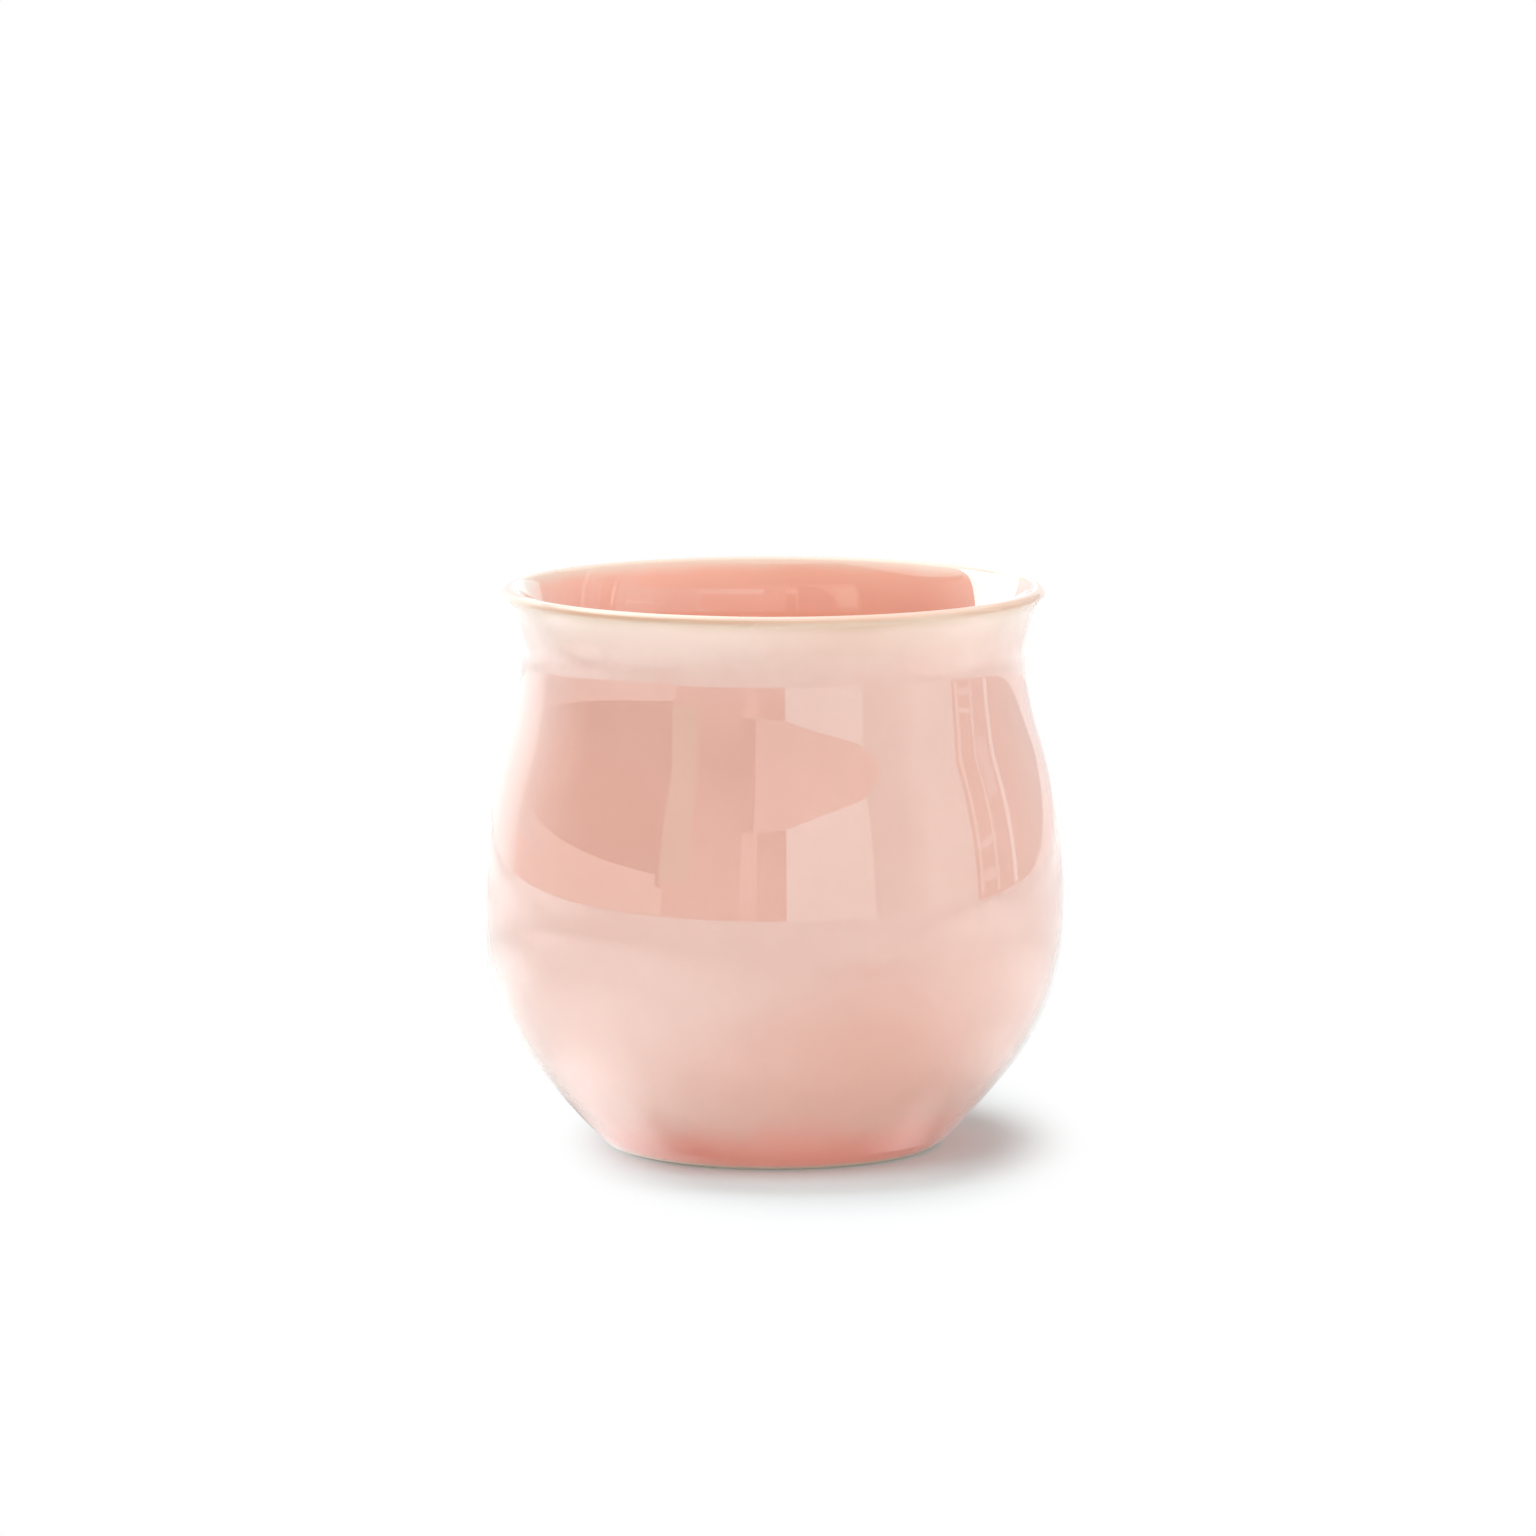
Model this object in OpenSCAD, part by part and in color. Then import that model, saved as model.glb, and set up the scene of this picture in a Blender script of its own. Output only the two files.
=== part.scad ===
// Handleless coffee cup: round-bellied porcelain with a drawn-in neck, a flared lip and a skin of glaze.
// Sizes are in millimetres with +Z up; the origin lies on the axis, on the surface that the cup stands on.

/* [Outline] */
// Height of the cup over the lip
cup_h = 76.6; // [60:0.2:100]
// Outside diameter of the belly at its widest
belly_d = 80; // [72:0.5:100]
// Height of the belly's widest point
belly_z = 33; // [24:0.5:44]
// How far the neck draws in from the belly at its narrowest, on each side
neck_in = 5.4; // [1:0.1:14]
// Height from the neck's narrowest point up to the top of the lip
neck_drop = 9.2; // [5:0.2:20]
// How far the lip flares out from the neck, on each side
flare_out = 2.3; // [0.5:0.1:9]
// Share of the rise from belly to neck that bulges, the rest being hollow
shoulder_share = 0.67; // [0.35:0.01:0.85]
// Lean of the wall from upright where the belly's underside passes into the flatter flank
flank_lean = 37.5; // [20:0.5:42]
// Lean of the wall from upright at the foot
foot_lean = 47; // [44:0.5:60]

/* [Wall and glaze] */
// Thickness of the wall, with the glaze on both its faces
wall_t = 2; // [1.4:0.1:4]
// Thickness of the floor at the middle, with the glaze on both its faces
floor_t = 3.2; // [2:0.1:8]
// Radius of the inside curve from the floor into the wall
heel_r = 10; // [3:0.5:16]
// Thickness of each coat of glaze
glaze_t = 0.3; // [0.1:0.05:0.5]

/* [Foot] */
// Diameter of the foot where the glazed outline meets the standing surface
foot_d = 45; // [36:0.5:56]
// Radius of the foot ring's outer edge
foot_edge_r = 1; // [0.4:0.1:2]
// Width of the flat that the cup stands on
foot_flat_w = 2.8; // [1:0.1:6]
// Radius of the foot ring's inner edge
ring_edge_r = 0.6; // [0.2:0.1:1]
// Depth of the glazed recess inside the foot ring
recess_depth = 2; // [1:0.1:4]
// Radius of the curve round the recess, on the clay
recess_r = 1.2; // [0.5:0.1:2]
// Width of bare clay between the foot ring's outer edge and the glaze
bare_w = 0.25; // [0.1:0.05:2]

/* [Hidden] */
// How far a chord of a curved outline may lie off the curve
chord_tol = 0.02;
// Facets round the cup
$fn = 180;

belly_r = belly_d / 2;
neck_r = belly_r - neck_in;
neck_z = cup_h - neck_drop;
lip_r = wall_t / 2;
lip_centre = [neck_r + flare_out - lip_r, cup_h - lip_r];

// The belly's underside and the flank: two arcs that touch, from upright at the belly to the foot's lean
foot_run = belly_r - foot_d / 2;
flank_rise = sin(foot_lean) - sin(flank_lean);
flank_run = cos(flank_lean) - cos(foot_lean);
turn = sin(foot_lean - flank_lean) - flank_rise;
under_r = (belly_z * flank_run - foot_run * flank_rise) / turn;
flank_r = (foot_run * sin(flank_lean) - belly_z * (1 - cos(flank_lean))) / turn;
under_centre = [belly_r - under_r, belly_z];
flank_centre = under_centre - (flank_r - under_r) * [cos(flank_lean), -sin(flank_lean)];

// The shoulder and the hollow of the neck: two arcs that touch, upright at the belly and at the neck
shoulder_rise = neck_z - belly_z;
shoulder_lean = 2 * atan(neck_in / shoulder_rise);
shoulder_r = shoulder_share * shoulder_rise / sin(shoulder_lean);
hollow_r = (1 - shoulder_share) * shoulder_rise / sin(shoulder_lean);

// The flare: an arc that is upright at the neck and runs into the round of the lip
lip_out = flare_out - lip_r;
lip_up = neck_drop - lip_r;
flare_r = (lip_out * lip_out + lip_up * lip_up - lip_r * lip_r) / (2 * flare_out);
flare_end = atan2(lip_up, lip_out - flare_r);

// Arcs of the outside from the foot to the lip: centre, radius, and the directions faced at the lower end
// and the upper end, in degrees above level; an arc that is hollow has a negative radius
OUTSIDE = [
    [flank_centre, flank_r, -foot_lean, -flank_lean],
    [under_centre, under_r, -flank_lean, 0],
    [[belly_r - shoulder_r, belly_z], shoulder_r, 0, shoulder_lean],
    [[neck_r + hollow_r, neck_z], -hollow_r, shoulder_lean, 0],
    [[neck_r + flare_r, neck_z], -flare_r, 0, flare_end - 180]
];
FLANK = 0;
UNDER = 1;

// Centre of a round of radius r, lying inside an arc of the outline that is set in by depth, at height z
function nested_centre(arc, depth, r, z) =
    [arc[0].x + sqrt(pow(arc[1] - depth - r, 2) - pow(z - arc[0].y, 2)), z];
// Angle at which that round touches the arc
function nested_angle(arc, depth, r, z) = asin((z - arc[0].y) / (arc[1] - depth - r));

// The foot ring's outer edge, rounded into the clay of the flank
foot_edge_centre = nested_centre(OUTSIDE[FLANK], glaze_t, foot_edge_r, foot_edge_r);
foot_edge_angle = nested_angle(OUTSIDE[FLANK], glaze_t, foot_edge_r, foot_edge_r);
bare_angle = foot_edge_angle + (bare_w + glaze_t) / (flank_r - glaze_t) * 180 / PI;

// The inside curve from the floor into the wall, which it meets on the flank or higher up
floor_z = recess_depth + floor_t;
heel_z = floor_z + heel_r;
heel_arc = nested_angle(OUTSIDE[FLANK], wall_t, heel_r, heel_z) < -flank_lean ? FLANK : UNDER;
heel_centre = nested_centre(OUTSIDE[heel_arc], wall_t, heel_r, heel_z);
heel_angle = nested_angle(OUTSIDE[heel_arc], wall_t, heel_r, heel_z);

// The recess under the floor: its clay ceiling, its upright side and the curve between them
ceiling_z = recess_depth + glaze_t;
recess_side_r = foot_edge_centre.x - foot_flat_w - ring_edge_r;
recess_curve_r = min(recess_r, ceiling_z - ring_edge_r - glaze_t);
recess_centre = [recess_side_r - recess_curve_r, ceiling_z - recess_curve_r];
recess_edge = [recess_side_r, recess_centre.y];

// Widest turn between two points on an arc of radius r
function step_angle(r) = 2 * acos(max(0, 1 - chord_tol / abs(r)));
// Points along an arc from its first angle up to, but not including, its last
function arc_points(centre, r, from, to) =
    let (steps = ceil(abs(to - from) / step_angle(r)))
    [for (i = [0:steps - 1]) let (a = from + (to - from) * i / steps) centre + r * [cos(a), sin(a)]];

// The outline of the wall, set in by depth, from an angle on one of its arcs up to the end of the flare
function wall_points(depth, first_arc, first_angle) = [
    for (i = [first_arc:len(OUTSIDE) - 1])
    let (arc = OUTSIDE[i], from = i == first_arc ? first_angle : arc[2])
    each arc_points(arc[0], arc[1] - depth, from, arc[3])
];

// The top of the lip, where the outer coat and the lining meet, at a depth below the glaze
function crest(depth) = lip_centre + [0, lip_r - depth];

// The outside at a depth below the glaze, from the glaze's lower edge up to the crest
function outer_points(depth) = concat(
    wall_points(depth, FLANK, bare_angle),
    arc_points(lip_centre, lip_r - depth, flare_end - 180, 90)
);

// The inside at a depth below the glaze, from the middle of the floor up to the crest
function inner_points(depth) = concat(
    [[0, floor_z - depth]],
    arc_points(heel_centre, heel_r + depth, -90, heel_angle),
    wall_points(wall_t - depth, heel_arc, heel_angle),
    arc_points(lip_centre, lip_r - depth, flare_end, 90)
);

// The recess at a depth below the glaze, from the middle of its ceiling round to the recess's edge
function recess_points(depth) = concat(
    [[0, recess_depth + depth]],
    arc_points(recess_centre, recess_curve_r - glaze_t + depth, 90, 0)
);

function reversed(points) = [for (i = [len(points) - 1:-1:0]) points[i]];

// The fired clay: shell, floor and foot ring, bare only on the ring
module clay_body() {
    ring_centre = [recess_side_r + ring_edge_r, ring_edge_r];
    base_points = concat(
        recess_points(glaze_t),
        [recess_edge],
        arc_points(ring_centre, ring_edge_r, 180, 270),
        [[ring_centre.x, 0]],
        arc_points(foot_edge_centre, foot_edge_r, -90, foot_edge_angle),
        arc_points(flank_centre, flank_r - glaze_t, foot_edge_angle, bare_angle)
    );
    color("Linen")
    rotate_extrude()
    polygon(concat(base_points, outer_points(glaze_t), [crest(glaze_t)], reversed(inner_points(glaze_t))));
}

// The coat over the outside, rolled over at its lower edge and ending along the top of the lip
module outer_glaze() {
    bed = outer_points(glaze_t);
    roll = arc_points(bed[0], glaze_t, bare_angle - 90, bare_angle);
    color("#E8B5A3")
    rotate_extrude()
    polygon(concat(roll, outer_points(0), [crest(0), crest(glaze_t)], reversed(bed)));
}

// The lining, poured in: the floor, the wall and the inner half of the lip
module inner_glaze() {
    color("#EDAE9A")
    rotate_extrude()
    polygon(concat(reversed(inner_points(0)), inner_points(glaze_t), [crest(glaze_t), crest(0)]));
}

// The coat inside the foot ring, an island that ends on the side of the recess
module base_glaze() {
    roll = arc_points(recess_edge, glaze_t, 180, 270);
    rolled_edge = recess_edge - [0, glaze_t];
    color("#E8B5A3")
    rotate_extrude()
    polygon(concat(recess_points(0), roll, [rolled_edge, recess_edge], reversed(recess_points(glaze_t))));
}

clay_body();
outer_glaze();
inner_glaze();
base_glaze();
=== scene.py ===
import math
import bpy
import numpy as np
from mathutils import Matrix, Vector


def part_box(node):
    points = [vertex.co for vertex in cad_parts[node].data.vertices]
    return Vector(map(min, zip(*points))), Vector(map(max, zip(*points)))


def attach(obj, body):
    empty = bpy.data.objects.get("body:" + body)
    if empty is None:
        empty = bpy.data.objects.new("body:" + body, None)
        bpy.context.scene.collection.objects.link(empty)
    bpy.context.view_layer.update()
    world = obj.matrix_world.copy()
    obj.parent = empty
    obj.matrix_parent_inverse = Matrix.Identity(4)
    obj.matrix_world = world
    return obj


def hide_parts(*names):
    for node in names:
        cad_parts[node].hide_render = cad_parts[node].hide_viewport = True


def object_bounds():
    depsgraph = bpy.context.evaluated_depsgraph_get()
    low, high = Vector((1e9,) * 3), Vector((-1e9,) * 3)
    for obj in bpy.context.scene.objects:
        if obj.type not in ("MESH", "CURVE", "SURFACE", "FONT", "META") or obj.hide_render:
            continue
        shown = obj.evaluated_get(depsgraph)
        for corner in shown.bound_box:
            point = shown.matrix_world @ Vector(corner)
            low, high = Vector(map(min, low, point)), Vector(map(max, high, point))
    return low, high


# A handleless coffee cup. Its clay and its three coats of glaze are turned smooth from the outlines of
# the frame's nodes, and the cup stands on a white table under soft light.

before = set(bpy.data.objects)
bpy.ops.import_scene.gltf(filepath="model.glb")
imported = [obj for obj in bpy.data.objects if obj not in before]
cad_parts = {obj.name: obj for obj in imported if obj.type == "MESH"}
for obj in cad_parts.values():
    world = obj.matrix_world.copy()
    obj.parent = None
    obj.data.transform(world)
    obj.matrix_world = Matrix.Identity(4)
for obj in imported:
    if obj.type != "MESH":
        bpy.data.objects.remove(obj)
cad_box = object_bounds()

MM = 0.001
CUP_H = cad_box[1].z


def placed(name, data):
    """An object made of a mesh, a lamp or a lens, put into the scene."""
    made = bpy.data.objects.new(name, data)
    bpy.context.scene.collection.objects.link(made)
    return made


# Turning: each piece is the outline of its node, smoothed and swept round the axis

SEGMENTS = 180                  # points in a ring
TURNS = [2 * math.pi * k / SEGMENTS for k in range(SEGMENTS)]
RING_TOL = 0.005 * MM           # vertices closer than this are on one ring
STRAIGHT = math.radians(0.02)   # where the outline bends less, its point is left out
CORNER = math.radians(45)       # where the outline bends more, it stays sharp
TWIN = 0.03                     # share by which the chords of one arc may differ in length
LONGEST_STEP = 1.2 * MM         # along the smoothed outline


def rings_of(node):
    """Radius and height of each ring of vertices on a turned node, and which rings its faces join."""
    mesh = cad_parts[node].data
    co = np.empty(len(mesh.vertices) * 3)
    mesh.vertices.foreach_get("co", co)
    co = co.reshape(-1, 3)
    spots = np.stack([np.hypot(co[:, 0], co[:, 1]), co[:, 2]], axis=1)
    ring_of = np.full(len(spots), -1)
    rings = []
    while (ring_of < 0).any():
        first = spots[np.argmax(ring_of < 0)]
        near = np.hypot(*(spots - first).T) < RING_TOL
        ring_of[near] = len(rings)
        rings.append(spots[near].mean(axis=0))
    ends = np.empty(len(mesh.edges) * 2, int)
    mesh.edges.foreach_get("vertices", ends)
    joined = {}
    for a, b in np.unique(ring_of[ends.reshape(-1, 2)], axis=0):
        if a != b:
            joined.setdefault(a, set()).add(b)
            joined.setdefault(b, set()).add(a)
    return rings, joined


def bend(a, b, c):
    """Angle by which the way from a to b turns to go on to c."""
    u, v = b - a, c - b
    return math.atan2(u[0] * v[1] - u[1] * v[0], u[0] * v[0] + u[1] * v[1])


def outline_of(node):
    """The outline of a turned node, with its material on the left: its points, and which are corners.
    It runs from axis to axis, or round a loop from corner to corner."""
    rings, joined = rings_of(node)
    tips = [r for r, others in joined.items() if len(others) == 1]
    order = [tips[0] if tips else 0]
    while len(order) < len(rings):
        order.append(next(r for r in joined[order[-1]] if r not in order))
    points = [rings[r] for r in order]
    if tips:
        points = [np.array([0, points[0][1]]), *points, np.array([0, points[-1][1]])]
    r, z = np.array(points).T
    if np.sum(r * np.roll(z, -1) - z * np.roll(r, -1)) < 0:
        points.reverse()
    bends = [bend(points[i - 1], p, points[(i + 1) % len(points)]) for i, p in enumerate(points)]
    if tips:
        bends[0] = bends[-1] = math.pi
    outline = [(p, abs(b) > CORNER) for p, b in zip(points, bends) if abs(b) > STRAIGHT]
    if not tips:
        first = next(i for i, (p, corner) in enumerate(outline) if corner)
        outline = outline[first:] + outline[:first + 1]
    return outline


def with_middles(points):
    """A run of points with a middle added to each chord that stands alone, which keeps it straight."""
    length = [np.hypot(*(b - a)) for a, b in zip(points, points[1:])]
    out = [points[0]]
    for i, (a, b) in enumerate(zip(points, points[1:])):
        beside = length[max(i - 1, 0):i] + length[i + 1:i + 2]
        if not any(abs(other / length[i] - 1) < TWIN for other in beside):
            out.append((a + b) / 2)
        out.append(b)
    return out


def headings(points):
    """Direction of the smooth curve at each point of a run, from circles through it and its neighbours."""
    chord = [b - a for a, b in zip(points, points[1:])]
    length = [np.hypot(*c) for c in chord]
    angle = [math.atan2(chord[0][1], chord[0][0])]
    turns = [bend(*points[i:i + 3]) for i in range(len(points) - 2)]
    for t in turns:
        angle.append(angle[-1] + t)
    found = []
    for i in range(len(points)):
        guesses = []
        if i >= 2:
            guesses.append(angle[i - 1] + turns[i - 2] * length[i - 1] / (length[i - 2] + length[i - 1]))
        if 1 <= i < len(points) - 1:
            guesses.append(angle[i - 1] + turns[i - 1] * length[i - 1] / (length[i - 1] + length[i]))
        if i < len(points) - 2:
            guesses.append(angle[i] - turns[i] * length[i] / (length[i] + length[i + 1]))
        a = float(np.median(guesses)) if guesses else angle[0]
        found.append(np.array([math.cos(a), math.sin(a)]))
    return found


def smoothed(outline):
    """The outline with points added on smooth curves between its corners, and which points are corners."""
    corners = [i for i, (p, corner) in enumerate(outline) if corner]
    points, sharp = [outline[0][0]], [True]
    for first, last in zip(corners, corners[1:]):
        run = with_middles([p for p, corner in outline[first:last + 1]])
        heading = headings(run)
        for a, b, ha, hb in zip(run, run[1:], heading, heading[1:]):
            length = np.hypot(*(b - a))
            steps = max(2, math.ceil(length / LONGEST_STEP))
            for s in range(1, steps + 1):
                t = s / steps
                curve = (2 * t**3 - 3 * t**2 + 1) * a + (3 * t**2 - 2 * t**3) * b
                curve = curve + length * ((t**3 - 2 * t**2 + t) * ha + (t**3 - t**2) * hb)
                points.append(curve)
                sharp.append(False)
        sharp[-1] = True
    return points, sharp


def turned_piece(name, node, material):
    """A closed smooth mesh turned from a node's outline, which stands for that node."""
    points, sharp = smoothed(outline_of(node))
    looped = points[0][0] > RING_TOL
    if looped:
        points, sharp = points[:-1], sharp[:-1]
    rings, verts, ring_of = [], [], []
    for i, (r, z) in enumerate(points):
        ring = [(r * math.cos(a), r * math.sin(a), z) for a in (TURNS if r > RING_TOL else TURNS[:1])]
        rings.append(range(len(verts), len(verts) + len(ring)))
        verts += ring
        ring_of += [i] * len(ring)
    faces = []
    for i in range(len(points) if looped else len(points) - 1):
        low, high = rings[i], rings[(i + 1) % len(points)]
        for k in range(SEGMENTS):
            after = (k + 1) % SEGMENTS
            around = [low[k % len(low)], low[after % len(low)], high[after % len(high)], high[k % len(high)]]
            faces.append(list(dict.fromkeys(around)))
    mesh = bpy.data.meshes.new(name)
    mesh.from_pydata(verts, [], faces)
    mesh.polygons.foreach_set("use_smooth", [True] * len(faces))
    edge_rings = [[ring_of[v] for v in edge.vertices] for edge in mesh.edges]
    hard = mesh.attributes.new("sharp_edge", "BOOLEAN", "EDGE")
    hard.data.foreach_set("value", [a == b and sharp[a] for a, b in edge_rings])
    mesh.materials.append(material)
    piece = placed(name, mesh)
    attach(piece, "root")
    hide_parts(node)
    return piece


# Shader helpers

def linear(red, green, blue):
    """A colour as seen on screen, 0 to 255, turned into the linear values that shaders take."""
    def one(c):
        c = c / 255
        return c / 12.92 if c <= 0.04045 else ((c + 0.055) / 1.055) ** 2.4
    return (one(red), one(green), one(blue), 1)


def feed(tree, socket, value):
    """Sets a socket to a value, or links it to the socket that feeds it."""
    if isinstance(value, bpy.types.NodeSocket):
        tree.links.new(value, socket)
    else:
        socket.default_value = value


def node(tree, kind, inputs=(), **settings):
    """A node with its settings and inputs; an input is a value, or the socket that feeds it."""
    made = tree.nodes.new(kind)
    for key, value in settings.items():
        setattr(made, key, value)
    for key, value in dict(inputs).items():
        feed(tree, made.inputs[key], value)
    return made


def object_place(tree):
    """Where a point lies on its own object, in metres."""
    return node(tree, "ShaderNodeTexCoord").outputs["Object"]


def noise(tree, place, scale, detail, sharpness=0.5):
    """Noise between 0 and 1, with its scale per metre."""
    inputs = {"Vector": place, "Scale": scale, "Detail": detail, "Roughness": sharpness}
    return node(tree, "ShaderNodeTexNoise", inputs).outputs[0]


def math_of(tree, operation, a, b=0.0):
    """One step of arithmetic."""
    return node(tree, "ShaderNodeMath", {0: a, 1: b}, operation=operation).outputs[0]


def vector_of(tree, operation, a, b=(0, 0, 0), out=0):
    """One step of arithmetic on vectors."""
    return node(tree, "ShaderNodeVectorMath", {0: a, 1: b}, operation=operation).outputs[out]


def ramp(tree, value, start, end, first=0.0, last=1.0, kind="LINEAR"):
    """Goes from first to last as the value goes from start to end."""
    inputs = {0: value, 1: start, 2: end, 3: first, 4: last}
    return node(tree, "ShaderNodeMapRange", inputs, interpolation_type=kind).outputs[0]


def mixed(tree, share, a, b):
    """A share of colour b in colour a."""
    return node(tree, "ShaderNodeMix", {0: share, 6: a, 7: b}, data_type="RGBA").outputs[2]


def shine(tree, colour, strength=1):
    """A glowing surface."""
    return node(tree, "ShaderNodeEmission", {"Color": colour, "Strength": strength}).outputs[0]


def clear(tree):
    """A surface that lets everything through."""
    return node(tree, "ShaderNodeBsdfTransparent").outputs[0]


def added(tree, a, b):
    """Two surfaces at once."""
    return node(tree, "ShaderNodeAddShader", {0: a, 1: b}).outputs[0]


def blended(tree, share, a, b):
    """A share of surface b in surface a."""
    return node(tree, "ShaderNodeMixShader", {0: share, 1: a, 2: b}).outputs[0]


def shared_group(name, inputs, outputs):
    """An empty node group with named sockets: its tree, and the nodes for its inputs and outputs."""
    tree = bpy.data.node_groups.new(name, "ShaderNodeTree")
    for socket, kind, value in inputs:
        tree.interface.new_socket(socket, in_out="INPUT", socket_type=kind).default_value = value
    for socket, kind in outputs:
        tree.interface.new_socket(socket, in_out="OUTPUT", socket_type=kind)
    return tree, tree.nodes.new("NodeGroupInput"), tree.nodes.new("NodeGroupOutput")


# Finishes

WHITE = (1, 1, 1, 1)
PINK = linear(232, 174, 155)
DEEP_PINK = linear(228, 168, 148)
# Painted reflection: paler pink towards the rim stands for the white table mirrored in the neck
PAINTED_REFLECTION_PINK = linear(239, 198, 177)
# Deeper, redder pink towards the foot: partly glaze pooled there, partly painted shade and pink bounce light
POOLED_AND_SHADED_SALMON = linear(250, 150, 126)
LINING_PINK = linear(249, 190, 167)
DEEP_LINING = linear(246, 184, 160)
TAN = linear(223, 181, 149)
CREAM = linear(226, 196, 172)
LIP_CREAM = linear(238, 216, 196)
PALE_CLAY = linear(238, 224, 208)
STAINED_CLAY = linear(216, 194, 172)

NOISE_MEAN = 0.5
NOISE_SPAN = (0.3, 0.7)     # where most of a noise lies
CLOUD_SCALE = 55
CLOUD_SPAN = (0.35, 0.65)   # the colour deepens over this part of the noise
SPECK_SCALE = 2200
SPECK_SHARE = 0.25
RIPPLE_SCALE = 90
RIPPLE_STRENGTH = 0.05
RIPPLE_HEIGHT = 0.1 * MM
UNEVEN_SCALE = 120
GRAIN_SCALE = 3000
GRAIN_SHARPNESS = 0.6
GRAIN_STRENGTH = 0.4
GRAIN_HEIGHT = 0.05 * MM
STAIN_SCALE = 140

LEAST_GLAZE_ROUGHNESS = 0.006
MOST_GLAZE_ROUGHNESS = 0.02
COAT_ROUGHNESS = 0.008
COAT_INDEX = 1.6
OUTER_INDEX = 1.85
LINING_INDEX = 1.4
BASE_INDEX = 1.5
LEAST_CLAY_ROUGHNESS = 0.7
MOST_CLAY_ROUGHNESS = 0.9


def glaze_clouds_group():
    """Glaze that lies a little unevenly: cloudy colour, gloss that varies, and a faint ripple."""
    tree, into, out = shared_group(
        "glaze_clouds",
        [("Glaze", "NodeSocketColor", WHITE), ("Deep Glaze", "NodeSocketColor", WHITE),
         ("Least Roughness", "NodeSocketFloat", LEAST_GLAZE_ROUGHNESS),
         ("Most Roughness", "NodeSocketFloat", MOST_GLAZE_ROUGHNESS)],
        [("Colour", "NodeSocketColor"), ("Roughness", "NodeSocketFloat"), ("Height", "NodeSocketFloat")],
    )
    place = object_place(tree)
    clouds = noise(tree, place, CLOUD_SCALE, detail=3)
    specks = noise(tree, place, SPECK_SCALE, detail=1)
    ripple = noise(tree, place, RIPPLE_SCALE, detail=1)
    speckle = math_of(tree, "MULTIPLY", specks, SPECK_SHARE)
    depth = math_of(tree, "ADD", ramp(tree, clouds, *CLOUD_SPAN), speckle)
    colour = mixed(tree, depth, into.outputs["Glaze"], into.outputs["Deep Glaze"])
    rough = ramp(tree, clouds, *NOISE_SPAN, into.outputs["Least Roughness"], into.outputs["Most Roughness"])
    feed(tree, out.inputs["Colour"], colour)
    feed(tree, out.inputs["Roughness"], rough)
    feed(tree, out.inputs["Height"], ripple)
    return tree


def glaze_edge_and_painted_light_group():
    """A band along a level edge, for thin glaze and for painted reflection and painted shade: full at the
    edge's height, fading over an uneven reach.
    """
    tree, into, out = shared_group(
        "glaze_edge_and_painted_light",
        [("Edge Height", "NodeSocketFloat", 0.0), ("Reach", "NodeSocketFloat", MM)],
        [("Edge Share", "NodeSocketFloat")],
    )
    place = object_place(tree)
    height = node(tree, "ShaderNodeSeparateXYZ", {0: place}).outputs[2]
    uneven = noise(tree, place, UNEVEN_SCALE, detail=2)
    about_one = math_of(tree, "ADD", uneven, 1 - NOISE_MEAN)
    reach = math_of(tree, "MULTIPLY", into.outputs["Reach"], about_one)
    away = math_of(tree, "ABSOLUTE", math_of(tree, "SUBTRACT", height, into.outputs["Edge Height"]))
    share_away = math_of(tree, "DIVIDE", away, reach)
    feed(tree, out.inputs["Edge Share"], ramp(tree, share_away, 0.0, 1.0, 1.0, 0.0, "SMOOTHSTEP"))
    return tree


glaze_clouds = glaze_clouds_group()
glaze_edge_and_painted_light = glaze_edge_and_painted_light_group()


def principled(name):
    """A new material, its node tree and its shader."""
    material = bpy.data.materials.new(name)
    material.use_nodes = True
    return material, material.node_tree, material.node_tree.nodes["Principled BSDF"]


def glaze(name, colour, deep, index, edges):
    """A glossy glaze. edges lists bands along level edges: height, reach and the colour there. Some are thin
    glaze, some painted reflection and painted shade.
    """
    material, tree, shader = principled(name)
    clouds = node(tree, "ShaderNodeGroup", {
        "Glaze": colour, "Deep Glaze": deep,
        "Least Roughness": LEAST_GLAZE_ROUGHNESS, "Most Roughness": MOST_GLAZE_ROUGHNESS,
    }, node_tree=glaze_clouds)
    shown = clouds.outputs["Colour"]
    # Each band blends its colour in towards its edge, whether thin glaze, painted reflection or painted
    # shade
    for height, reach, through in edges:
        band = node(tree, "ShaderNodeGroup", {"Edge Height": height, "Reach": reach}, node_tree=glaze_edge_and_painted_light)
        shown = mixed(tree, band.outputs["Edge Share"], shown, through)
    bump = node(tree, "ShaderNodeBump", {
        "Height": clouds.outputs["Height"], "Strength": RIPPLE_STRENGTH, "Distance": RIPPLE_HEIGHT,
    })
    feed(tree, shader.inputs["Base Color"], shown)
    feed(tree, shader.inputs["Roughness"], clouds.outputs["Roughness"])
    feed(tree, shader.inputs["Normal"], bump.outputs[0])
    shader.inputs["IOR"].default_value = index
    shader.inputs["Specular IOR Level"].default_value = 1
    shader.inputs["Coat Weight"].default_value = 1
    shader.inputs["Coat Roughness"].default_value = COAT_ROUGHNESS
    shader.inputs["Coat IOR"].default_value = COAT_INDEX
    return material


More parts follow.
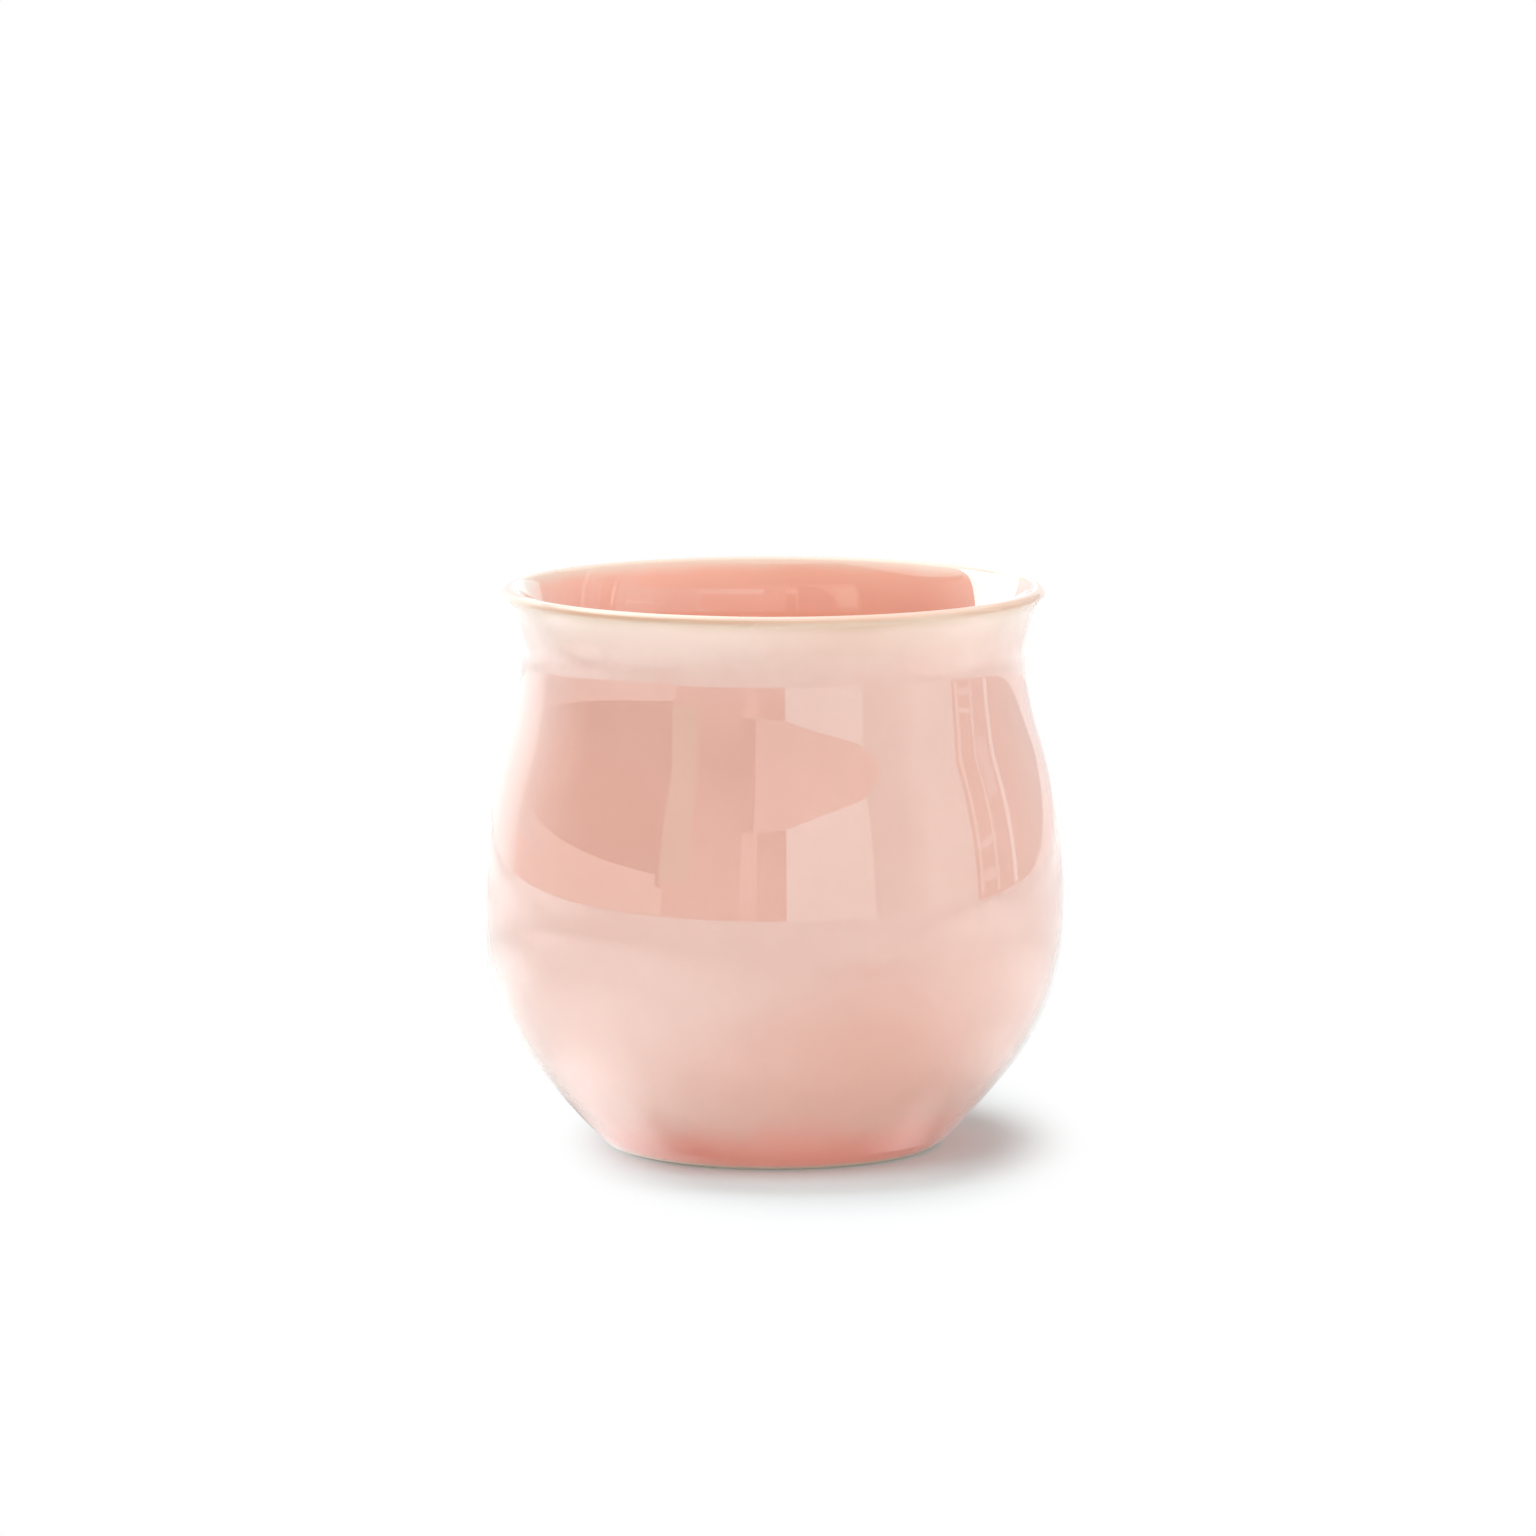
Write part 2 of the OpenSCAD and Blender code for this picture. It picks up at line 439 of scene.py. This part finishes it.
def bare_clay():
    """Fired clay without glaze: matt, off-white and finely grained."""
    material, tree, shader = principled("bare_clay")
    place = object_place(tree)
    grain = noise(tree, place, GRAIN_SCALE, detail=4, sharpness=GRAIN_SHARPNESS)
    stain = noise(tree, place, STAIN_SCALE, detail=3)
    share = math_of(tree, "DIVIDE", math_of(tree, "ADD", grain, stain), 2)
    rough = ramp(tree, grain, *NOISE_SPAN, LEAST_CLAY_ROUGHNESS, MOST_CLAY_ROUGHNESS)
    bump = node(tree, "ShaderNodeBump", {
        "Height": grain, "Strength": GRAIN_STRENGTH, "Distance": GRAIN_HEIGHT,
    })
    feed(tree, shader.inputs["Base Color"], mixed(tree, share, PALE_CLAY, STAINED_CLAY))
    feed(tree, shader.inputs["Roughness"], rough)
    feed(tree, shader.inputs["Normal"], bump.outputs[0])
    return material


# Pieces

GLAZE_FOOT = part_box("outer_glaze")[0].z
RECESS_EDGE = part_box("base_glaze")[0].z
LIP_EDGE = CUP_H - 0.95 * MM    # outer side of the round lip

outside_edges = [
    # paler towards the rim: painted reflection of the white table
    (CUP_H, 11 * MM, PAINTED_REFLECTION_PINK),
    # deeper towards the foot: glaze pooled there, with painted shade and pink bounce
    (GLAZE_FOOT, 9 * MM, POOLED_AND_SHADED_SALMON),
    (LIP_EDGE, 1.7 * MM, TAN),
    (GLAZE_FOOT, 0.5 * MM, CREAM),
]
lining_edges = [(CUP_H, 2.2 * MM, LIP_CREAM)]
base_edges = [(RECESS_EDGE, 0.4 * MM, CREAM)]
outside_glaze = glaze("outer_glaze", PINK, DEEP_PINK, OUTER_INDEX, outside_edges)
lining_glaze = glaze("inner_glaze", LINING_PINK, DEEP_LINING, LINING_INDEX, lining_edges)
base_glaze = glaze("base_glaze", PINK, DEEP_PINK, BASE_INDEX, base_edges)

turned_piece("fired_clay", "clay_body", bare_clay())
turned_piece("outside_coat", "outer_glaze", outside_glaze)
lining = turned_piece("lining_coat", "inner_glaze", lining_glaze)
turned_piece("base_coat", "base_glaze", base_glaze)


# Studio: a white table in a white world

AMBIENT = 0.42                          # the world as light on the cup
TABLE_HALF = 20                         # half the table's width
TABLE_COLOUR = (0.668, 0.735, 0.743, 1)
TABLE_GLOW = 0.04
SHADOW_CENTRE = (7 * MM, 2 * MM, 0)     # the oval where the table keeps the cup's shadow
SHADOW_REACH = (37 * MM, 74 * MM, 1)
SHADOW_CORE = 0.58                      # share of the oval where the shadow is at its full depth
SHADOW_DEPTH = 0.95                     # share of the shadow that shows there


def white_world():
    """White to the eye and in the gloss, and dimmer as light on the cup."""
    world = bpy.data.worlds.new("white_studio")
    bpy.context.scene.world = world
    world.use_nodes = True
    tree = world.node_tree
    tree.nodes.clear()
    path = node(tree, "ShaderNodeLightPath")
    seen = math_of(tree, "MAXIMUM", path.outputs["Is Camera Ray"], path.outputs["Is Glossy Ray"])
    seen = math_of(tree, "MAXIMUM", seen, path.outputs["Is Transmission Ray"])
    dome = node(tree, "ShaderNodeBackground", {"Color": WHITE, "Strength": AMBIENT})
    white = node(tree, "ShaderNodeBackground", {"Color": WHITE, "Strength": 1})
    both = blended(tree, seen, dome.outputs[0], white.outputs[0])
    node(tree, "ShaderNodeOutputWorld", {"Surface": both})


def studio_material(name, surface):
    """A material for the studio; surface makes its shader in the material's node tree."""
    material = bpy.data.materials.new(name)
    material.use_nodes = True
    tree = material.node_tree
    tree.nodes.clear()
    node(tree, "ShaderNodeOutputMaterial", {"Surface": surface(tree)})
    return material


def oval_distance(tree, centre, reach):
    """How far a place lies from an oval's centre: 1 on the oval itself."""
    from_centre = vector_of(tree, "SUBTRACT", object_place(tree), centre)
    scaled = vector_of(tree, "DIVIDE", from_centre, reach)
    return vector_of(tree, "LENGTH", scaled, out="Value")


def table_surface(tree):
    """Matt with a faint glow. For the eye it is lifted to plain white outside an oval round the foot, which
    hides the cup's shadow there; clear from below.
    """
    matt = node(tree, "ShaderNodeBsdfDiffuse", {"Color": TABLE_COLOUR}).outputs[0]
    real = added(tree, matt, shine(tree, WHITE, TABLE_GLOW))
    away = oval_distance(tree, SHADOW_CENTRE, SHADOW_REACH)
    clean = ramp(tree, away, SHADOW_CORE, 1.0, 1 - SHADOW_DEPTH, 1.0, "SMOOTHSTEP")
    eye = node(tree, "ShaderNodeLightPath").outputs["Is Camera Ray"]
    lit = blended(tree, math_of(tree, "MULTIPLY", eye, clean), real, shine(tree, WHITE))
    under = node(tree, "ShaderNodeNewGeometry").outputs["Backfacing"]
    return blended(tree, under, lit, clear(tree))


def table():
    """A plain white table top."""
    mesh = bpy.data.meshes.new("table")
    h = TABLE_HALF
    mesh.from_pydata([(-h, -h, 0), (h, -h, 0), (h, h, 0), (-h, h, 0)], [], [(0, 1, 2, 3)])
    mesh.materials.append(studio_material("table_white", table_surface))
    top = placed("table", mesh)
    return top


white_world()
table_top = table()


# Lights

LEFT = (-0.9, 0.0, 0.4)
RIGHT = (0.9, 0.0, 0.4)


def soft_light(name, level, spread, toward):
    """A broad soft light; level is how bright it makes a white face that is square to it."""
    lamp = bpy.data.lights.new(name, "SUN")
    lamp.energy = level * math.pi
    lamp.angle = math.radians(spread)
    light = placed(name, lamp)
    light.rotation_euler = Vector(toward).to_track_quat("Z", "Y").to_euler()
    light.visible_glossy = False
    return light


def kept_off(light, unlit):
    """Keeps a light off one thing."""
    off = bpy.data.collections.new(light.name + "_kept_off")
    off.objects.link(unlit)
    off.collection_objects[0].light_linking.link_state = "EXCLUDE"
    light.light_linking.receiver_collection = off


def lights_only(light, lit):
    """Keeps a light, or a glowing sheet, for one thing alone."""
    only = bpy.data.collections.new(light.name + "_only")
    only.objects.link(lit)
    light.light_linking.receiver_collection = only


def fill_light(name, level, spread, toward):
    """A soft light that fills the cup, inside too, without a shadow, and is kept off the table."""
    light = soft_light(name, level, spread, toward)
    light.data.use_shadow = False
    kept_off(light, table_top)


kept_off(soft_light("top_light", level=0.55, spread=30, toward=(-0.12, 0.14, 0.98)), table_top)
lights_only(soft_light("table_back_light", level=0.5, spread=30, toward=(-0.06, 0.14, 0.98)), table_top)
lights_only(soft_light("table_front_light", level=0.32, spread=35, toward=(-0.18, -0.5, 0.85)), table_top)
soft_light("left_light", level=0.06, spread=60, toward=LEFT)
kept_off(soft_light("left_side_light", level=0.13, spread=60, toward=LEFT), lining)
soft_light("right_light", level=0.16, spread=60, toward=RIGHT)
kept_off(soft_light("right_side_light", level=0.07, spread=60, toward=RIGHT), lining)
fill_light("front_fill", level=0.3, spread=40, toward=(0.0, -0.7, 0.7))
fill_light("table_bounce", level=0.2, spread=60, toward=(0.45, -0.35, -0.8))


# Painted reflections: cards, flags and glowing faces that only the gloss mirrors; distances in m, other
# sizes in mm

FAR = 0.65
MID = 0.21
NEAR = 0.135
LAYER = 0.005       # between far cards that overlap
CARD_STEP = 3       # degrees of a curved card's facets
CARD_TOP = 420
TALL_TOP = 520
TOP_FLAG_TOP = 1000
LINING_TOP = 470
NEAR_TOP = 140

ROSE = (1, 0.74, 0.72, 1)
PALE_ROSE = (1, 0.95, 0.93, 1)
DUSK = (1, 0.83, 0.8, 1)
COOL = (0.92, 1, 1, 1)
STRAW = (0.86, 0.87, 0.74, 1)
AQUA = (0.45, 1, 1, 1)


def mirrored_only(name, mesh, surface):
    """A flat or curved sheet that only the gloss mirrors."""
    mesh.materials.append(studio_material(name, surface))
    sheet = placed(name, mesh)
    sheet.visible_camera = sheet.visible_diffuse = sheet.visible_shadow = False
    sheet.visible_transmission = sheet.visible_volume_scatter = False
    return sheet


def glowing_sheet(name, verts, faces, glows, lit=None):
    """A sheet that glows in each point's own colour. Kept for one lit thing, it is clear to the rest."""
    mesh = bpy.data.meshes.new(name)
    mesh.from_pydata(verts, [], faces)
    colours = mesh.attributes.new("glow", "FLOAT_COLOR", "POINT")
    colours.data.foreach_set("color", [c for red, green, blue in glows for c in (red, green, blue, 1)])

    def surface(tree):
        glow = shine(tree, node(tree, "ShaderNodeAttribute", attribute_name="glow").outputs["Color"])
        return added(tree, glow, clear(tree)) if lit else glow

    sheet = mirrored_only(name, mesh, surface)
    if lit:
        lights_only(sheet, lit)


def mirrored_card(name, distance, tint, stations, fade=1, last_tint=None, lit=None):
    """A curved card round the cup. Each station gives the azimuth right of the camera, the bottom and
    top, and the shade at the bottom, which fades to a share of that at the top. The tint blends into
    the last tint, where there is one."""
    verts, faces, glows = [], [], []
    first, last = stations[0][0], stations[-1][0]
    for start, end in zip(stations, stations[1:]):
        steps = max(1, math.ceil(abs(end[0] - start[0]) / CARD_STEP))
        for s in range(steps + 1):
            azimuth, low, high, shade = (a + (b - a) * s / steps for a, b in zip(start, end))
            turn = math.radians(azimuth)
            for height in (low, high):
                verts.append((distance * math.sin(turn), -distance * math.cos(turn), height * MM))
            share = (azimuth - first) / (last - first)
            colour = [a + (b - a) * share for a, b in zip(tint[:3], (last_tint or tint)[:3])]
            glows += [[c * shade for c in colour], [c * shade * fade for c in colour]]
            if s:
                n = len(verts)
                faces.append((n - 4, n - 2, n - 1, n - 3))
    glowing_sheet(name, verts, faces, glows, lit)


def far_card(name, layer, tint, shades, low=0, high=CARD_TOP, **looks):
    """A far card of one height, some layers nearer than FAR; shades lists azimuths and the shade at each."""
    stations = [(azimuth, low, high, shade) for azimuth, shade in shades]
    mirrored_card(name, FAR - LAYER * layer, tint, stations, **looks)


def even_card(name, layer, tint, left, right, shade, **looks):
    """A far card of one height and one shade, between two azimuths."""
    far_card(name, layer, tint, [(left, shade), (right, shade)], **looks)


def side_card(name, x, near, far, low, high, shade):
    """An upright card to the left that glows to the right only."""
    mesh = bpy.data.meshes.new(name)
    corners = [(near, low), (far, low), (far, high), (near, high)]
    mesh.from_pydata([(x * MM, y * MM, z * MM) for y, z in corners], [], [(0, 1, 2, 3)])

    def surface(tree):
        front = added(tree, shine(tree, WHITE, shade), clear(tree))
        behind = node(tree, "ShaderNodeNewGeometry").outputs["Backfacing"]
        return blended(tree, behind, front, clear(tree))

    return mirrored_only(name, mesh, surface)


def softbox(name, centre, height, reach, shade):
    """A round glowing face overhead, a painted reflection of a lamp that only the gloss mirrors, fading to
    white at its rim.
    """
    x, y = centre
    rim = [(x + reach * math.cos(a), y + reach * math.sin(a), height) for a in TURNS]
    verts = [tuple(c * MM for c in place) for place in [*rim, (x, y, height)]]
    faces = [(k, (k + 1) % SEGMENTS, SEGMENTS) for k in range(SEGMENTS)]
    glowing_sheet(name, verts, faces, [(1, 1, 1)] * SEGMENTS + [(shade, shade, shade)])


far_card("left_edge_light", 0, WHITE, [
    (-180, 1.0), (-168, 1.0), (-150, 1.5), (-132, 1.5), (-127, 1.4), (-122, 1.25)])
even_card("left_flag", 0, ROSE, -122, 5, 0.88, fade=0.68)
far_card("left_flag_end", 1, WHITE, [(-122, 1.1), (-112, 0.97), (-88, 0.62)], fade=0.82, last_tint=ROSE)
far_card("left_flag_dark", 1, ROSE, [(-88, 0.64), (-80, 0.62), (-44.5, 0.63)], fade=0.72)
mirrored_card("left_flag_low", FAR - 2 * LAYER, DUSK, [
    (-122, 1, 70, 1.35), (-112, 1, 69, 1.1), (-81, 1, 64, 1.05), (-43, 1, 62, 1.05)])
even_card("left_seam", 1, STRAW, -44.5, -33, 0.8, low=80)
even_card("left_strip", 1, ROSE, -12.6, -6.3, 1.0)
even_card("strip_light", 0, COOL, 5, 39, 1.2)
far_card("near_right_flag", 0, COOL, [(39, 0.92), (55, 1.0), (66, 1.2), (85, 1.1)])
far_card("front_top_flag", 0, ROSE, [(-110, 0.45), (-15, 0.45), (25, 0.8), (75, 1.2)],
         low=CARD_TOP, high=TOP_FLAG_TOP)
mirrored_card("right_flag", FAR - LAYER, DUSK, [
    (85, 0, TALL_TOP, 0.88), (119, 2, TALL_TOP, 0.87), (130, 17, TALL_TOP, 0.85), (138, 38, TALL_TOP, 0.83),
    (144, 65, TALL_TOP, 0.81), (150, 90, TALL_TOP, 0.8), (156, 130, TALL_TOP, 0.8),
    (160, 200, TALL_TOP, 0.8)], last_tint=PALE_ROSE)
even_card("right_frame_a", 2, PALE_ROSE, 86.9, 88.5, 1.12, low=6, high=TALL_TOP)
even_card("right_frame_b", 2, PALE_ROSE, 96, 97.4, 1.08, low=6, high=TALL_TOP)
even_card("right_panel", 2, PALE_ROSE, 98.5, 104.5, 0.96, low=150, high=TALL_TOP)
even_card("right_frame_c", 2, WHITE, 106.5, 109, 1.2, low=6, high=TALL_TOP)
even_card("right_bar_a", 3, PALE_ROSE, 88, 98, 1.08, low=84, high=97)
even_card("right_bar_b", 3, PALE_ROSE, 88, 98, 1.05, low=28, high=46)
far_card("right_edge_light", 0, WHITE, [(85, 1.15), (142, 1.15), (156, 1.0), (180, 1.0)],
         high=TALL_TOP, last_tint=PALE_ROSE)
even_card("left_lip_light", 4, AQUA, 142.5, 180, 0.53, low=80, high=260, lit=lining)
even_card("lip_light", 4, WHITE, -178, -128, 1.6, low=300, high=600)
mirrored_card("lining_arch", FAR - 5 * LAYER, DUSK, [
    (-43, 180, LINING_TOP, 0.45), (-33, 180, LINING_TOP, 0.45), (-31, 280, LINING_TOP, 0.45),
    (-27, 400, LINING_TOP, 0.45), (-20, 440, LINING_TOP, 0.45), (-12, 450, LINING_TOP, 0.45)], lit=lining)
far_card("lining_pane", 5, DUSK, [(-12, 0.4), (30, 0.0)], low=180, high=LINING_TOP, lit=lining)
even_card("lining_frame_a", 5, WHITE, 86.5, 88.5, 0.5, low=215, high=385, lit=lining)
mirrored_card("lining_frame_b", FAR - 5 * LAYER, WHITE, [
    (62, 228, 242, 0.5), (78.5, 246, 262, 0.5)], lit=lining)
even_card("lining_frame_c", 5, WHITE, 77, 78.5, 0.5, low=215, high=246, lit=lining)
mirrored_card("low_flag_end", MID, WHITE, [(-115, 48, 64, 1.05), (-87, 46.5, 61, 1.05)], last_tint=DUSK)
mirrored_card("low_flag", MID, DUSK, [(-87, 46.5, 61, 1.05), (-43, 45, 56, 1.05)])
mirrored_card("near_flag_dark", NEAR, ROSE, [(-12.5, 73.5, NEAR_TOP, 0.68), (-6.8, 74, NEAR_TOP, 0.68)])
mirrored_card("near_flag", NEAR, DUSK, [
    (-6.8, 74, NEAR_TOP, 0.97), (4.2, 75.5, NEAR_TOP, 0.97), (17, 82, NEAR_TOP, 0.97),
    (33, 88, NEAR_TOP, 0.97), (41.2, 98, NEAR_TOP, 0.97)])
mouth_light = side_card("mouth_light", x=-34, near=45, far=125, low=80, high=130, shade=3.4)
lights_only(mouth_light, lining)
softbox("top_softbox", centre=(-220, 160), height=420, reach=330, shade=2.4)


# Painted light and painted shade: soft ovals on the table that only the gloss mirrors, lighter or darker

PATCH_LIFT = 0.1 * MM   # from each oval to the next above it
# colour of the painted shade
WARM_SHADE = (0.35, 0.06, 0.05, 1)

# Name, centre and reach in mm, share of the reach before it fades, and the change: below 0 is darker
TABLE_PATCHES = [
    ("left_pool", (-115, -40), (160, 140), 0.3, 0.31),
    ("left_foot_pool", (-29, -13), (25, 26), 0.1, 0.58),
    ("left_near_pool", (-55, -25), (50, 45), 0.0, 0.3),
    ("left_side_pool", (-90, 50), (65, 75), 0.1, 0.4),
    ("left_back_pool", (-220, 260), (230, 300), 0.3, 0.45),
    ("far_left_pool", (-520, 100), (350, 350), 0.2, 0.36),
    ("far_left_back_pool", (-540, 580), (340, 400), 0.2, 0.3),
    ("right_side_pool", (105, 20), (80, 70), 0.1, 0.27),
    ("right_foot_pool", (38, 0), (28, 30), 0.0, 0.2),
    ("far_right_pool", (330, -20), (240, 160), 0.3, 0.25),
    ("right_back_pool", (220, 260), (230, 300), 0.3, 0.15),
    ("back_pool", (0, 2000), (3000, 2000), 0.6, 0.2),
    ("front_shade", (25, -48), (60, 46), 0.0, -0.42),
    ("far_front_shade", (64, -92), (62, 58), 0.0, -0.25),
    ("left_gap_pool", (-195, 0), (60, 70), 0.0, 0.22),
    ("right_lip_shade", (160, 270), (110, 170), 0.0, -0.15),
    ("left_lip_shade", (-165, 230), (85, 110), 0.0, -0.15),
    ("left_foot_shade", (-12, -23), (14, 5.5), 0.0, -0.42),
    ("right_foot_light", (19, -18), (14, 7), 0.0, 0.28),
]


def table_patch(layer, name, centre, reach, core, change):
    """One soft oval of painted light, or of painted shade where the change is below 0, on the table, on a
    layer of its own.
    """
    mesh = bpy.data.meshes.new(name)
    x, y = (c * MM for c in centre)
    rx, ry = (r * MM for r in reach)
    z = PATCH_LIFT * layer
    corners = [(x - rx, y - ry), (x + rx, y - ry), (x + rx, y + ry), (x - rx, y + ry)]
    mesh.from_pydata([(*c, z) for c in corners], [], [(0, 1, 2, 3)])

    def surface(tree):
        away = oval_distance(tree, (x, y, z), (rx, ry, 1))
        share = ramp(tree, away, core, 1.0, abs(change), 0.0, "SMOOTHSTEP")
        if change < 0:
            return blended(tree, share, clear(tree), shine(tree, WARM_SHADE))
        return added(tree, clear(tree), shine(tree, WHITE, share))

    mirrored_only(name, mesh, surface)


for layer, patch in enumerate(TABLE_PATCHES, start=1):
    table_patch(layer, *patch)


# Camera: a long lens, a little above the cup, placed as in the photograph

LENS_MM = 200.4
SENSOR_MM = 36
NEAREST = 0.01
FURTHEST = 100
EYE_DISTANCE = 1.16774
EYE_RISE = math.radians(8.4686)
CUP_MIDDLE = Vector((0, 0, 38 * MM))
AIM = Vector((-0.743, 1.98, 51.296)) * MM

lens = bpy.data.cameras.new("camera")
lens.lens = LENS_MM
lens.sensor_width = SENSOR_MM
lens.clip_start = NEAREST
lens.clip_end = FURTHEST
camera = placed("camera", lens)
camera.location = CUP_MIDDLE + EYE_DISTANCE * Vector((0, -math.cos(EYE_RISE), math.sin(EYE_RISE)))
camera.rotation_euler = (AIM - camera.location).to_track_quat("-Z", "Y").to_euler()
bpy.context.scene.camera = camera
bpy.context.scene.view_settings.view_transform = "Standard"
